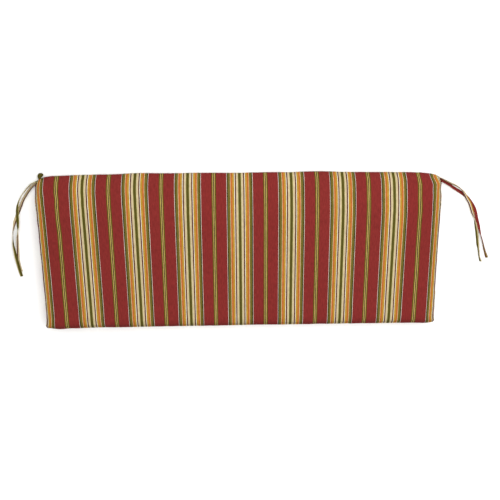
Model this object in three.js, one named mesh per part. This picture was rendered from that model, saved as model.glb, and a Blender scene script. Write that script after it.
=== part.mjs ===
// A striped loveseat cushion, lying on its back, with a pair of free tie ends at each corner of one long edge.
// Millimetres. X runs along the length, +Y points to the tied edge, +Z is up, out of the face.
// The origin is the middle of the flat underside.
import * as THREE from "three";
import { mergeVertices } from "three/addons/utils/BufferGeometryUtils.js";

// Driving dimensions of the cushion.
const LENGTH = 1184; // across the ends, at the front corners
const DEPTH = 469; // from the front edge to the tied edge
const THICKNESS = 68; // at the top of the crown
const NARROWING = 2; // each end is this much closer to the middle at the tied edge
const END_DRAWN_IN = 2; // how far each end pulls in halfway between its corners
const FRONT_DRAWN_IN = 2.5; // how far the front edge pulls in at the middle
const TIED_BOWED_OUT = 3.5; // how far the tied edge bows out at the middle

// The crown of the face, which is highest a little behind the middle.
const CROWN_Y = 65; // where the crown is highest
const FRONT_FALL = 5; // how much lower the face is along the front edge
const END_FALL = 4; // how much lower the face is along each end

// The roll of the face down to the tied edge.
const ROLL_START_Y = 113;
const ROLL_POWER = 2.5;
const TIED_HEIGHT = 10; // what is left of the height at the tied edge

// The shoulders round the face's other edges, measured inwards from the side.
const FRONT_SHOULDER = 24;
const END_SHOULDER = 17;
const TIED_SHOULDER = 8;

// Corners seen from above.
const FRONT_CORNER = 13;
const TIED_CORNER = 38;

// Faceting of the cushion.
const LONG_STEPS = 40;
const SHORT_STEPS = 16;
const CORNER_STEPS = 6;
const SHOULDER_STEPS = 4;

// The side wall from the underside to the shoulder: how far each section stands in from the widest one, in
// millimetres, and its height as a share of the face's height above it.
const WALL_SECTIONS = [
  { inset: 7.0, level: 0.0 },
  { inset: 3.0, level: 0.02 },
  { inset: 1.2, level: 0.08 },
  { inset: 0.3, level: 0.22 },
  { inset: 0.0, level: 0.42 },
  { inset: 0.4, level: 0.62 },
];

// How far the sections of the face stand in from the edge of the shoulder.
const FACE_INSETS = [14, 34, 60, 92, 132, 176];

// The tie strips.
const TIE_WIDTH = 9.5;
const TIE_THICKNESS = 1.6;
const TIE_STEP = 8;

// Where each tie end lies, from the corner seam to its cut end. lean is how far the strip is turned about its own
// run, in degrees: 0 lies flat and 90 stands on its edge. lift raises it off the surface.
const TIE_ROUTES = {
  tie_left_outer: [
    { x: -587.3, y: 220.4, lean: -10, lift: 6.2 },
    { x: -594, y: 219, lean: -50, lift: 4.6 },
    { x: -605, y: 213, lean: -78, lift: 2 },
    { x: -615, y: 204, lean: -82, lift: 0.5 },
    { x: -624, y: 194, lean: -84, lift: 0 },
    { x: -634, y: 182, lean: -84, lift: 0 },
    { x: -643, y: 169, lean: -80, lift: 0 },
    { x: -649, y: 155, lean: -72, lift: 0 },
    { x: -653, y: 140, lean: -58, lift: 0.8 },
    { x: -655, y: 122, lean: -44, lift: 2.6 },
    { x: -656, y: 104, lean: -50, lift: 3.9 },
    { x: -657, y: 87, lean: -64, lift: 1 },
    { x: -659, y: 68, lean: -80, lift: 0 },
    { x: -662, y: 47, lean: -102, lift: 0 },
    { x: -664, y: 25, lean: -112, lift: 0 },
    { x: -666, y: 2, lean: -160, lift: 0 },
    { x: -668, y: -20, lean: -176, lift: 0 },
    { x: -666, y: -41, lean: -178, lift: 0 },
    { x: -662, y: -61, lean: -180, lift: 0 },
  ],
  tie_left_inner: [
    { x: -588.1, y: 213.8, lean: -10, lift: 2.6 },
    { x: -594, y: 212, lean: -50, lift: 1.4 },
    { x: -605, y: 204, lean: -64, lift: 0 },
    { x: -616, y: 191, lean: -64, lift: 0 },
    { x: -626, y: 177, lean: -60, lift: 0 },
    { x: -635, y: 163, lean: -50, lift: 0 },
    { x: -643, y: 146, lean: -32, lift: 0 },
    { x: -651, y: 129, lean: -10, lift: 0 },
    { x: -659, y: 112, lean: -4, lift: 0 },
    { x: -666, y: 96, lean: -9, lift: 0 },
    { x: -670, y: 80, lean: -48, lift: 0 },
    { x: -674, y: 65, lean: -70, lift: 0 },
    { x: -676, y: 46, lean: -82, lift: 0 },
    { x: -677, y: 29, lean: -92, lift: 0.2 },
    { x: -674, y: 11, lean: -95, lift: 4.7 },
    { x: -672, y: -9, lean: -108, lift: 5.3 },
    { x: -669, y: -34, lean: -142, lift: 3 },
    { x: -666, y: -56, lean: -166, lift: 2 },
    { x: -662, y: -76, lean: -178, lift: 1.6 },
  ],
  tie_right_outer: [
    { x: 586.6, y: 217.2, lean: 10, lift: 6.2 },
    { x: 592, y: 217, lean: 50, lift: 4.6 },
    { x: 605, y: 210, lean: 76, lift: 2 },
    { x: 622, y: 201, lean: 80, lift: 0.5 },
    { x: 637, y: 194, lean: 82, lift: 0 },
    { x: 650, y: 186, lean: 84, lift: 0.4 },
    { x: 660, y: 178, lean: 78, lift: 1.4 },
    { x: 668, y: 167, lean: 62, lift: 2.4 },
    { x: 676, y: 153, lean: 48, lift: 2.6 },
    { x: 684, y: 139, lean: 38, lift: 2.6 },
    { x: 690, y: 123, lean: 34, lift: 2.8 },
    { x: 697, y: 107, lean: 34, lift: 0.4 },
    { x: 704, y: 91, lean: 36, lift: 0 },
    { x: 709, y: 72, lean: 40, lift: 0 },
    { x: 714, y: 52, lean: 26, lift: 0 },
    { x: 718, y: 32, lean: 20, lift: 0 },
    { x: 721, y: 11, lean: 38, lift: 0 },
    { x: 725, y: -9, lean: 64, lift: 0 },
    { x: 729, y: -30, lean: 90, lift: 0 },
    { x: 735, y: -48, lean: 98, lift: 0 },
  ],
  tie_right_inner: [
    { x: 589.1, y: 212.4, lean: 10, lift: 2.6 },
    { x: 594, y: 210, lean: 50, lift: 1.4 },
    { x: 607, y: 203, lean: 68, lift: 0 },
    { x: 622, y: 194, lean: 64, lift: 0 },
    { x: 638, y: 183, lean: 50, lift: 0 },
    { x: 652, y: 174, lean: 30, lift: 0 },
    { x: 667, y: 164, lean: 5, lift: 0 },
    { x: 680, y: 152, lean: 3, lift: 0 },
    { x: 692, y: 137, lean: 4, lift: 0 },
    { x: 702, y: 121, lean: 6, lift: 0 },
    { x: 708, y: 105, lean: 19, lift: 0 },
    { x: 712, y: 89, lean: 24, lift: 0 },
    { x: 718, y: 70, lean: 34, lift: 0 },
    { x: 724, y: 50, lean: 48, lift: 0 },
    { x: 731, y: 29, lean: 64, lift: 0 },
    { x: 737, y: 10, lean: 90, lift: 0 },
    { x: 744, y: -13, lean: 102, lift: 0 },
    { x: 753, y: -36, lean: 110, lift: 0 },
  ],
};

// The fold of the left tie strip, which stands out of the corner seam.
const FOLD_BASE = { x: -579.5, y: 224, z: 7 };
const FOLD_SLANT = 45; // degrees that its base lies across the corner
const FOLD_REACH = 21;
const FOLD_SHIFT = 3; // how far its tip stands to the right of its base
const FOLD_BEND = 4.6; // outer radius of the bend at its tip
const FOLD_NECK = 2.6; // half of its height where it leaves the seam
const FOLD_NECK_WIDTH = 9;
const FOLD_TIP_WIDTH = 14;
const FOLD_BEND_STEPS = 10;

const cloth = (color, roughness) =>
  new THREE.MeshStandardMaterial({ color, roughness, metalness: 0 });

function mesh(name, geometry, material) {
  const part = new THREE.Mesh(geometry, material);
  part.name = name;
  return part;
}

// A closed body from equal rings of points, each ring joined to the next and the two ends filled.
function closedRings(rings) {
  const count = rings[0].length;
  const points = rings.flat();
  const faces = [];
  for (let r = 0; r + 1 < rings.length; r++) {
    for (let i = 0; i < count; i++) {
      const j = (i + 1) % count;
      const a = r * count + i;
      const b = r * count + j;
      faces.push(a, b, b + count, a, b + count, a + count);
    }
  }
  const cap = (start, flip) => {
    const ring = rings[start / count].map((p) => new THREE.Vector2(p.x, p.y));
    for (const [a, b, c] of THREE.ShapeUtils.triangulateShape(ring, [])) {
      faces.push(start + a, start + (flip ? c : b), start + (flip ? b : c));
    }
  };
  cap(0, true);
  cap((rings.length - 1) * count, false);
  const geometry = new THREE.BufferGeometry().setFromPoints(points);
  geometry.setIndex(faces);
  return mergeVertices(geometry);
}

// The cushion's outline seen from above, standing in by one distance at the ends, one at the front and one at
// the tied edge. It runs anticlockwise from the left end of the front edge.
function outline(endInset, frontInset, tiedInset, frontCorner, tiedCorner) {
  const points = [];
  const front = -DEPTH / 2 + frontInset;
  const tied = DEPTH / 2 - tiedInset;
  const halfFront = LENGTH / 2 - endInset;
  const halfTied = halfFront - NARROWING;
  const bow = (t) => 1 - (2 * t - 1) ** 2;
  const side = (steps, from, to, nx, ny, depth) => {
    for (let i = 0; i < steps; i++) {
      const t = i / steps;
      const pull = depth * bow(t);
      points.push([
        THREE.MathUtils.lerp(from[0], to[0], t) + nx * pull,
        THREE.MathUtils.lerp(from[1], to[1], t) + ny * pull,
      ]);
    }
  };
  const corner = (cx, cy, radius, startDegrees) => {
    for (let i = 0; i < CORNER_STEPS; i++) {
      const a = THREE.MathUtils.degToRad(startDegrees + (90 * i) / CORNER_STEPS);
      points.push([cx + radius * Math.cos(a), cy + radius * Math.sin(a)]);
    }
  };
  const fx = halfFront - frontCorner;
  const fy = front + frontCorner;
  const tx = halfTied - tiedCorner;
  const ty = tied - tiedCorner;
  side(LONG_STEPS, [-fx, front], [fx, front], 0, 1, FRONT_DRAWN_IN);
  corner(fx, fy, frontCorner, -90);
  side(SHORT_STEPS, [halfFront, fy], [halfTied, ty], -1, 0, END_DRAWN_IN);
  corner(tx, ty, tiedCorner, 0);
  side(LONG_STEPS, [tx, tied], [-tx, tied], 0, 1, TIED_BOWED_OUT);
  corner(-tx, ty, tiedCorner, 90);
  side(SHORT_STEPS, [-halfTied, ty], [-halfFront, fy], 1, 0, END_DRAWN_IN);
  corner(-fx, fy, frontCorner, 180);
  return points;
}

// Height of the face above the underside: its crown, and its roll down to the tied edge.
function faceHeight(x, y) {
  const towardsFront = Math.max(0, CROWN_Y - y) / (CROWN_Y + DEPTH / 2);
  const towardsEnd = Math.abs(x) / (LENGTH / 2);
  const crown =
    THICKNESS - FRONT_FALL * towardsFront ** 2 - END_FALL * towardsEnd ** 4;
  const t = Math.max(0, (y - ROLL_START_Y) / (DEPTH / 2 - ROLL_START_Y));
  const roll = Math.sqrt(Math.max(0, 1 - t ** ROLL_POWER));
  return TIED_HEIGHT + (crown - TIED_HEIGHT) * roll;
}

function section(inset, share, level, frontCorner, tiedCorner) {
  const ring = outline(
    inset + share * END_SHOULDER,
    inset + share * FRONT_SHOULDER,
    inset + share * TIED_SHOULDER,
    frontCorner,
    tiedCorner,
  );
  return ring.map(
    ([x, y]) => new THREE.Vector3(x, y, level * faceHeight(x, y)),
  );
}

function cushionGeometry() {
  const rings = WALL_SECTIONS.map(({ inset, level }) =>
    section(inset, 0, level, FRONT_CORNER, TIED_CORNER),
  );
  const top = WALL_SECTIONS[WALL_SECTIONS.length - 1];
  for (let i = 1; i <= SHOULDER_STEPS; i++) {
    const a = ((Math.PI / 2) * i) / SHOULDER_STEPS;
    const level = top.level + (1 - top.level) * Math.sin(a);
    const share = 1 - Math.cos(a);
    const front = FRONT_CORNER + 5 * share;
    rings.push(section(top.inset, share, level, front, TIED_CORNER));
  }
  for (const inset of FACE_INSETS) {
    const tied = Math.max(12, TIED_CORNER - inset / 3);
    rings.push(section(top.inset + inset, 1, 1, FRONT_CORNER + 5, tied));
  }
  return closedRings(rings);
}

// Places along a tie's route, evenly spaced, each with the strip's lean and its middle's height above the surface.
function tieStations(route) {
  const curve = new THREE.CatmullRomCurve3(
    route.map(({ x, y, lift }) => new THREE.Vector3(x, y, lift)),
    false,
    "centripetal",
  );
  const steps = Math.round(curve.getLength() / TIE_STEP);
  const stations = [];
  for (let i = 0; i <= steps; i++) {
    const u = i / steps;
    const along = curve.getUtoTmapping(u) * (route.length - 1);
    const k = Math.min(Math.floor(along), route.length - 2);
    const lean = THREE.MathUtils.degToRad(
      THREE.MathUtils.lerp(
        route[k].lean,
        route[k + 1].lean,
        THREE.MathUtils.smoothstep(along - k, 0, 1),
      ),
    );
    const place = curve.getPointAt(u);
    place.z = Math.max(0, place.z);
    place.z +=
      (TIE_WIDTH / 2) * Math.abs(Math.sin(lean)) +
      (TIE_THICKNESS / 2) * Math.abs(Math.cos(lean));
    stations.push({ place, lean, run: curve.getTangentAt(u).setZ(0).normalize() });
  }
  return stations;
}

// A flat strip of folded cloth along its route, cut square at its end.
function tieGeometry(route) {
  const rings = tieStations(route).map(({ place, lean, run }) => {
    const level = new THREE.Vector3(run.y, -run.x, 0);
    const across = level
      .clone()
      .multiplyScalar(Math.cos(lean))
      .setZ(Math.sin(lean));
    const normal = level
      .clone()
      .multiplyScalar(-Math.sin(lean))
      .setZ(Math.cos(lean));
    return [
      [-1, -1],
      [1, -1],
      [1, 1],
      [-1, 1],
    ].map(([a, n]) =>
      place
        .clone()
        .addScaledVector(across, (a * TIE_WIDTH) / 2)
        .addScaledVector(normal, (n * TIE_THICKNESS) / 2),
    );
  });
  return closedStrip(rings);
}

// A closed body from four-sided rings, with each end filled by two faces.
function closedStrip(rings) {
  const faces = [];
  for (let r = 0; r + 1 < rings.length; r++) {
    for (let i = 0; i < 4; i++) {
      const a = 4 * r + i;
      const b = 4 * r + ((i + 1) % 4);
      faces.push(a, b + 4, b, a, a + 4, b + 4);
    }
  }
  const last = 4 * (rings.length - 1);
  faces.push(0, 1, 2, 0, 2, 3, last, last + 2, last + 1, last, last + 3, last + 2);
  const geometry = new THREE.BufferGeometry().setFromPoints(rings.flat());
  geometry.setIndex(faces);
  return mergeVertices(geometry);
}

// The strip doubled back on itself: a hairpin seen from the side, wider at its tip than at its neck.
function foldGeometry() {
  const tip = FOLD_REACH - FOLD_BEND;
  const inner = FOLD_BEND - TIE_THICKNESS;
  const hairpin = [{ outer: [0, -FOLD_NECK], inner: [0, TIE_THICKNESS - FOLD_NECK] }];
  for (let i = 0; i <= FOLD_BEND_STEPS; i++) {
    const a = THREE.MathUtils.degToRad(-110 + (220 * i) / FOLD_BEND_STEPS);
    const [c, s] = [Math.cos(a), Math.sin(a)];
    hairpin.push({
      outer: [tip + FOLD_BEND * c, FOLD_BEND * s],
      inner: [tip + inner * c, inner * s],
    });
  }
  hairpin.push({ outer: [0, FOLD_NECK], inner: [0, FOLD_NECK - TIE_THICKNESS] });
  const point = (side, [reach, height]) => {
    const along = THREE.MathUtils.smoothstep(reach, 0, tip);
    const half =
      THREE.MathUtils.lerp(FOLD_NECK_WIDTH, FOLD_TIP_WIDTH, along) / 2;
    const slant = THREE.MathUtils.degToRad(FOLD_SLANT * (1 - along));
    return new THREE.Vector3(
      FOLD_SHIFT * along + side * half * Math.cos(slant),
      reach + side * half * Math.sin(slant),
      height,
    );
  };
  const rings = hairpin.map((edge) => [
    point(-1, edge.outer),
    point(1, edge.outer),
    point(1, edge.inner),
    point(-1, edge.inner),
  ]);
  return closedStrip(rings);
}

const group = new THREE.Group();
group.add(mesh("cushion", cushionGeometry(), cloth(0x8c2f2c, 0.9)));
for (const [name, route] of Object.entries(TIE_ROUTES)) {
  group.add(mesh(name, tieGeometry(route), cloth(0x6a6236, 0.9)));
}
const fold = mesh("tie_left_fold", foldGeometry(), cloth(0x564a31, 0.9));
fold.position.set(FOLD_BASE.x, FOLD_BASE.y, FOLD_BASE.z);
group.add(fold);

export default group;
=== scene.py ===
"""A striped loveseat cushion that lies on its back, with two loose ties at each corner of one long edge.

Metres. +X runs along the length, +Y points to the tied edge and +Z is up, out of the face.
"""

import math

import bmesh
import bpy
import numpy as np
from bpy.props import FloatProperty, FloatVectorProperty, IntProperty, PointerProperty
from mathutils import Matrix, Vector, noise


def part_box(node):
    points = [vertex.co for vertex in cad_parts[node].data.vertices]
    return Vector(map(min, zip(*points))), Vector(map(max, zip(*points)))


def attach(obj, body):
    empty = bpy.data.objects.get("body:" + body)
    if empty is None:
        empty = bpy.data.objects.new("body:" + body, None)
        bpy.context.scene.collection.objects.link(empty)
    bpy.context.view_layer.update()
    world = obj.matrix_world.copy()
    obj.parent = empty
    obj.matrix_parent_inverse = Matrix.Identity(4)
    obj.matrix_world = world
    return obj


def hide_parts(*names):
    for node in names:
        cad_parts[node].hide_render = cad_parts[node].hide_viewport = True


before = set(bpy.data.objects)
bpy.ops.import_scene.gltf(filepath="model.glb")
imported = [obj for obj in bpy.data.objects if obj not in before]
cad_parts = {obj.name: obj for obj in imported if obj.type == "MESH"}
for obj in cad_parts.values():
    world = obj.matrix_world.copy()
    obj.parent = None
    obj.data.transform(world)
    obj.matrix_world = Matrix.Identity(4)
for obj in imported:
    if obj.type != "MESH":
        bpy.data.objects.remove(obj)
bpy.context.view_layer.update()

bl_info = {
    "name": "Striped loveseat cushion",
    "version": (1, 0, 0),
    "blender": (4, 5, 0),
    "location": "3D View > Sidebar > Cushion",
    "description": "Makes a filled loveseat cushion in striped cloth with loose corner ties",
    "category": "Add Mesh",
}

MM = 0.001
BODY = "root"

# The cushion's outline seen from above.
CUSHION_LOW, CUSHION_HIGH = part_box("cushion")
LENGTH = CUSHION_HIGH.x - CUSHION_LOW.x
THICKNESS = CUSHION_HIGH.z
TIED_BOWED_OUT = 3.5 * MM
DEPTH = CUSHION_HIGH.y - CUSHION_LOW.y - TIED_BOWED_OUT
FRONT_DRAWN_IN = 2.5 * MM
FRONT_CORNER = 5 * MM
FRONT_SEAM_CORNER = 3 * MM
TIED_CORNER = 26 * MM

# How far the ends are drawn in, at places along the depth, and how far the front and tied edges are moved, at
# places along the length. Millimetres.
LEFT_END = (
    (-234, -2.8), (-214, -2.4), (-185, 0.7), (-60, 1.1),
    (150, 0.9), (185, -3.2), (212, -4.6), (234, -4.8),
)
RIGHT_END = (
    (-234, -6.0), (-205, -2.8), (-170, -2.4), (-60, 0.6),
    (60, 1.6), (150, 1.2), (185, -2.6), (212, -6.4),
)
FRONT_EDGE = ((-592, -4.5), (-560, -3.4), (-520, -0.6), (-480, 0.0), (480, 0.0), (540, -0.8), (592, -3.6))
TIED_EDGE = (
    (-592, -6.0), (-570, -3.0), (-556, 0.6), (-545, 2.2), (-520, 2.3), (-462, 4.2), (-374, 5.2),
    (-287, 8.0), (-199, 6.2), (-112, 6.7), (-24, 5.3), (64, 6.0), (151, 5.6), (239, 7.3), (326, 3.9),
    (414, 2.9), (472, 1.8), (501, 1.2), (531, 0.0), (550, -2.4), (570, -6.0), (592, -9.0),
)
END_PULL_BAND = (LENGTH / 2 - 75 * MM, LENGTH / 2 - 12 * MM)

# The crown of the face and its roll down to the tied edge.
CROWN_Y = 65 * MM
FRONT_FALL = 5 * MM
END_FALL = 4 * MM
ROLL_START_Y = 113 * MM
ROLL_POWER = 2.5
TIED_HEIGHT = 10 * MM

# The side wall: how far it stands in from the widest outline, at shares of the face's height.
WALL_LEVELS = (0.0, 0.02, 0.08, 0.22, 0.42, 0.62)
WALL_INSETS = (7 * MM, 3 * MM, 1.2 * MM, 0.3 * MM, 0.0, 0.4 * MM)
FRONT_SHOULDER = 24 * MM
END_SHOULDER = 17 * MM
TIED_SHOULDER = 8 * MM

# The face falls towards each end seam: over what width, how far, and how much it is held back until the
# seam. Over a band of the depth the tied corners' own values take over. The sharpness says how closely the
# rises from two seams follow the lower one.
END_SEAM_INSET = 2.8 * MM
TIED_SEAM_INSET = 0.2 * MM
LEFT_FALL = (46 * MM, 16 * MM, 2.0)
RIGHT_FALL = (38 * MM, 14 * MM, 3.0)
CORNER_FALL = (30 * MM, 12 * MM, 4.0)
CORNER_BAND = (90 * MM, 175 * MM)
RISE_SHARPNESS = 4

# How far the stripes are drawn out towards the ends, at places along the depth: over the left third, near
# each end, and at the two tied corners. The draws say over what reach from the middle each one comes in.
# Over the last band, near the tied edge, the stripes start to run straight on. Millimetres.
LEFT_THIRD = ((-235, 0), (-60, 0.2), (30, 0.7), (90, 1.0), (140, 1.6), (175, 3.2), (200, 4.4), (236, 3.6))
LEFT_OUTER = ((-235, 2.7), (-100, 2.3), (30, 2.4), (100, 2.0), (135, 0), (180, -0.8), (200, 1.6), (236, 2.8))
RIGHT_OUTER = ((-235, 3.1), (-50, 3.5), (90, 3.1), (126, 2.3), (161, 1.2), (187, 1.8), (212, 2.6), (236, -4))
CORNER_OUTER = ((160, 0), (195, 7), (236, 7))
LEFT_DRAW = (((80, 420), LEFT_THIRD), ((515, 552), LEFT_OUTER), ((574, 600), CORNER_OUTER))
RIGHT_DRAW = (((500, 560), RIGHT_OUTER), ((566, 596), CORNER_OUTER))
STRAIGHT_BAND = (200 * MM, 226 * MM)

# The seams. The front seam lies on the front shoulder, at the angle that the shoulder has turned from the
# wall. The end gussets taper away over a band of the depth.
FRONT_SEAM_ANGLE = math.radians(64)
BACK_SEAM_LEVEL = 0.05
BACK_SEAM_HEIGHT = 2.4 * MM
GUSSET_TAPER = (150 * MM, 234.3 * MM)

# The mesh. Its columns stand closer near the end seams, and its rows on the front shoulder and the tied
# roll. The end gussets' lower points lag behind the face's rows near the front corners. The levels are the
# rows up the front strip and the end gussets, and the edge is the back's. Columns and edge in millimetres.
END_BAND = 46 * MM
END_COLUMNS = (36, 27.5, 19.5, 12.5, 7.2, 3.2, 0)
SHOULDER_ROWS = 5
ROLL_ROWS = 21
ROLL_ROWS_Y = 150 * MM
RING_LAG = 12.8 * MM
RING_LAG_BAND = (-220 * MM, -130 * MM)
FRONT_LEVELS = (0.0875, 0.14, 0.25, 0.38, 0.52, 0.66, 0.79, 0.885, 0.935, 0.9615)
END_LEVELS = (0, 0.09, 0.2, 0.33, 0.46, 0.6, 0.73, 0.84, 0.925, 1)
BACK_EDGE = (0, 3.5, 7, 13, 21)
BACK_ROLL = 7 * MM
BACK_ROLL_POWER = 2.2

# The stripes. The table holds half of their repeat, from the middle of a group of stripes to the middle of
# the thin pair: where each stripe starts in millimetres, its name, its colour and what it is.
STRIPE_REPEAT = 149.8 * MM
STRIPES = (
    (0.0, "dark_olive", (76, 69, 26), "The stripe in the middle of each group"),
    (3.65, "pale_green", (152, 150, 74), "The line beside the middle stripe"),
    (4.4, "cream", (182, 165, 131), "The broad pale stripes"),
    (10.25, "maroon", (70, 20, 20), "The thin dark stripes"),
    (13.9, "white", (215, 215, 202), "The line between maroon and gold"),
    (15.5, "gold", (164, 126, 44), "The stripe beside the orange one"),
    (21.0, "orange", (166, 94, 42), "The brightest stripe"),
    (26.5, "tan", (215, 197, 157), "The line between orange and olive"),
    (27.5, "olive", (97, 87, 32), "The outer stripe of each group"),
    (34.3, "dark_green", (27, 38, 17), "The dark line beside the olive stripe"),
    (37.0, "grey", (213, 204, 189), "The line that closes each group"),
    (37.8, "red", (116, 39, 36), "The ground between the groups of stripes"),
    (68.3, "pair_edge", (82, 71, 21), "The edges of the thin pair in the red"),
    (71.9, "pair_gold", (188, 162, 90), "The thin pair in the red"),
    (73.3, "pair_middle", (46, 44, 32), "The line between the thin pair"),
)

# How uneven the woven cloth is: how often it changes in a metre across and along the stripes, and the
# detail and roughness of that noise. Then how far the stripes' edges wander, and how much the rest lightens
# and darkens the cloth.
WANDERING = ((420.0, 9.0, 1.0), 1.0, 0.5)
SLUBS = ((900.0, 26.0, 1.0), 3.0, 0.6)
PICKS = ((40.0, 1100.0, 1.0), 2.0, 0.6)
FADED_PATCHES = ((9.0, 5.0, 1.0), 3.0, 0.55)
MOTTLING = ((330.0, 60.0, 1.0), 2.0, 0.6)
WANDER = 0.7 * MM
SLUB_TONE = 0.42
PICK_TONE = 0.24
MOTTLED_TONE = 0.8
# How much the painted shade near a seam darkens the cloth.
SEAM_PAINTED_SHADE = 0.35
WEAVE_HEIGHT = 0.5
SLUB_HEIGHT = 0.9

# The filling: the frames of the cloth simulation, how far from a seam the cover is free to swell, below
# what height it rests, and how often lumps and gathers come. Gathers fade out away from the seams. Points
# beside a seam are pushed out by a share of what the seam is pulled in, and painted shade darkens the
# cloth within reach of a seam, where its crease would be in shade.
FILLING_FRAMES = 20
FREE_BAND = (0, 70 * MM)
RESTING_HEIGHT = 14 * MM
LUMPS_A_METRE = 9
GATHERS_A_METRE = 45
GATHER_REACH = 16 * MM
GATHER_START = 3 * MM
BESIDE_SEAM = -0.2
SEAM_PAINTED_SHADE_REACH = 6 * MM

# Stitches are uneven in size between these two, and lie a little above the cloth.
STITCH_LEAST, STITCH_MOST = 0.88, 1.06
STITCH_LIFT = 0.15 * MM

# Where each tie end lies, from the corner seam to its cut end: x, y, lean and lift. The lean is how far the
# strip is turned about its own run, in degrees: 0 lies flat and 90 stands on its edge. The lift raises it
# off the floor. Millimetres.
TIE_ROUTES = {
    "tie_left_outer": (
        (-587.3, 220.4, -70, 4.6), (-594, 219, -94, 3.4), (-605, 213, -107, 2), (-615, 204, -105, 0.5),
        (-624, 194, -98, 0), (-634, 182, -90, 0), (-643, 169, -80, 0.3), (-649, 155, -60, 1.6),
        (-653, 140, -34, 3.0), (-655, 122, -16, 3.4), (-656, 104, -14, 3.4), (-657, 87, -34, 1.2),
        (-659, 68, -76, 0), (-662, 47, -116, 0), (-664, 25, -130, 0), (-666, 2, -154, 0),
        (-668, -20, -176, 0), (-666, -41, -178, 0), (-662, -61, -180, 0),
    ),
    "tie_left_inner": (
        (-588.1, 213.8, -20, 2.2), (-594, 212, -40, 1.0), (-605, 204, -36, 0), (-616, 191, -31, 0),
        (-626, 177, -28, 0), (-635, 163, -25, 0), (-643, 146, -16, 0), (-651, 129, -8, 0),
        (-659, 112, -4, 0), (-666, 96, -12, 0), (-670, 80, -48, 0), (-674, 65, -70, 0), (-676, 46, -84, 0),
        (-677, 29, -104, 0.2), (-674, 11, -122, 4.7), (-672, -9, -140, 5.3), (-669, -34, -160, 3),
        (-666, -56, -172, 2), (-662, -76, -180, 1.6),
    ),
    "tie_right_outer": (
        (586.6, 217.2, 66, 4.6), (592, 217, 92, 3.4), (605, 210.3, 112, 3.2), (622, 201.3, 118, 2.8),
        (637.5, 193.8, 117, 2.2), (650.5, 186, 104, 1.2), (660, 178, 74, 1.6), (668, 167, 44, 2.8),
        (676, 153, 26, 3.0), (685, 139, 10, 3.0), (691.5, 123, 8, 2.8), (697, 107, 26, 0.8),
        (704, 91, 72, 0), (709, 72, 122, 0), (714, 52, 140, 0), (718, 32, 148, 0), (721, 11, 140, 0),
        (725, -9, 106, 0), (729, -30, 98, 0), (735, -48, 124, 0),
    ),
    "tie_right_inner": (
        (589.1, 212.4, 20, 2.2), (594, 210, 42, 1.0), (607, 203, 44, 0), (622, 194, 38, 0),
        (638, 183, 32, 0), (652, 174, 20, 0), (667, 164, 5, 0), (680, 152, 1, 0), (692, 137, 0, 0),
        (702, 121, 0, 0), (708, 105, 0, 0), (712, 89, 0, 0), (718, 70, 8, 0), (724, 50, 50, 0),
        (731, 29, 88, 0), (737, 10, 95, 0), (744, -13, 112, 0), (753, -36, 138, 0),
    ),
}

# How each tie was cut from the striped cloth: the stripe coordinate in the middle of its upper side in
# millimetres, the way it runs across, how much it drifts along the strip, and the edge that is a fold.
TIE_CUTS = {
    "tie_left_outer": (0.0, 1, 0.0, 1),
    "tie_left_inner": (9.6, -1, 0.0, 1),
    "tie_right_outer": (16.5, -1, -0.012, 1),
    "tie_right_inner": (65.2, -1, -0.021, -1),
}

# One side of a tie's section: across as a share of its width, out as a share of its thickness. The stitched
# edge is at -0.5 and the fold at 0.5.
TIE_SIDE = (
    (-0.5, 0.0), (-0.485, 0.3), (-0.44, 0.46), (-0.38, 0.44), (-0.33, 0.3), (-0.28, 0.44), (-0.1, 0.5),
    (0.15, 0.5), (0.4, 0.5), (0.475, 0.34), (0.5, 0.0),
)
TIE_STITCH_ACROSS = -0.33
TIE_STITCH_OUT = 0.36
TIE_WAVES_A_METRE = 55
TIE_WIDTHS_A_METRE = 30
TIE_WIDTH_SWING = 0.03
TIE_MATERIAL = "striped_ties"
TIE_ROOT = 4 * MM

# The fold of the left tie strip that stands out of the corner seam. It slants at the seam and then
# straightens, its two layers open towards the bend, and its head is round and wider than its neck.
FOLD_BASE = Vector((-579.5, 224, 7)) * MM
FOLD_SLANT = math.radians(45)
FOLD_REACH = 21 * MM
FOLD_SHIFT = 3 * MM
FOLD_BEND = 4.6 * MM
FOLD_NECK = 2.6 * MM
FOLD_NECK_WIDTH = 10.5 * MM
FOLD_HEAD_WIDTH = 16 * MM
FOLD_HEAD_HALF = 7.4 * MM
FOLD_HEAD_LEAST = 0.08
FOLD_JOIN_POWER = 6
FOLD_OPENS = math.radians(110)
FOLD_ROOT = 2 * MM
FOLD_STRIPES = 6

# The camera, at the photograph's viewing angle.
CAMERA_PLACE = Vector((-0.030078, 0.820360, 2.330969))
CAMERA_PITCH = 0.33932728
CAMERA_YAW = -0.02437598
CAMERA_ROLL = -0.01389834

# The soft lights: name, place, size and share of the power.
LIGHTS = (
    ("key_light", (1.0, 1.6, 2.5), 3.6, 0.37),
    ("near_light", (0.45, 0.7, 1.5), 1.6, 0.16),
)


def colour(red, green, blue):
    """A colour from its screen values, 0 to 255, as Blender's linear values."""

    def linear(v):
        v /= 255
        return v / 12.92 if v <= 0.04045 else ((v + 0.055) / 1.055) ** 2.4

    return tuple(linear(v) for v in (red, green, blue))


def colour_property(name, description, rgb):
    return FloatVectorProperty(
        name=name, description=description, subtype="COLOR", size=3, min=0, max=1, default=colour(*rgb)
    )


def amount_property(name, description, default, low=0.0, high=1000.0, **kind):
    return FloatProperty(name=name, description=description, default=default, min=low, max=high, **kind)


def length_property(name, description, default, low=0.0, high=2.0):
    kind = {"subtype": "DISTANCE", "unit": "LENGTH", "precision": 4}
    return amount_property(name, description, default, low, high, **kind)


class StripeColours(bpy.types.PropertyGroup):
    """The colours of the woven stripes."""

    __annotations__ = {
        name: colour_property(name.replace("_", " ").capitalize(), description, rgb)
        for _, name, rgb, description in STRIPES
    }


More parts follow.
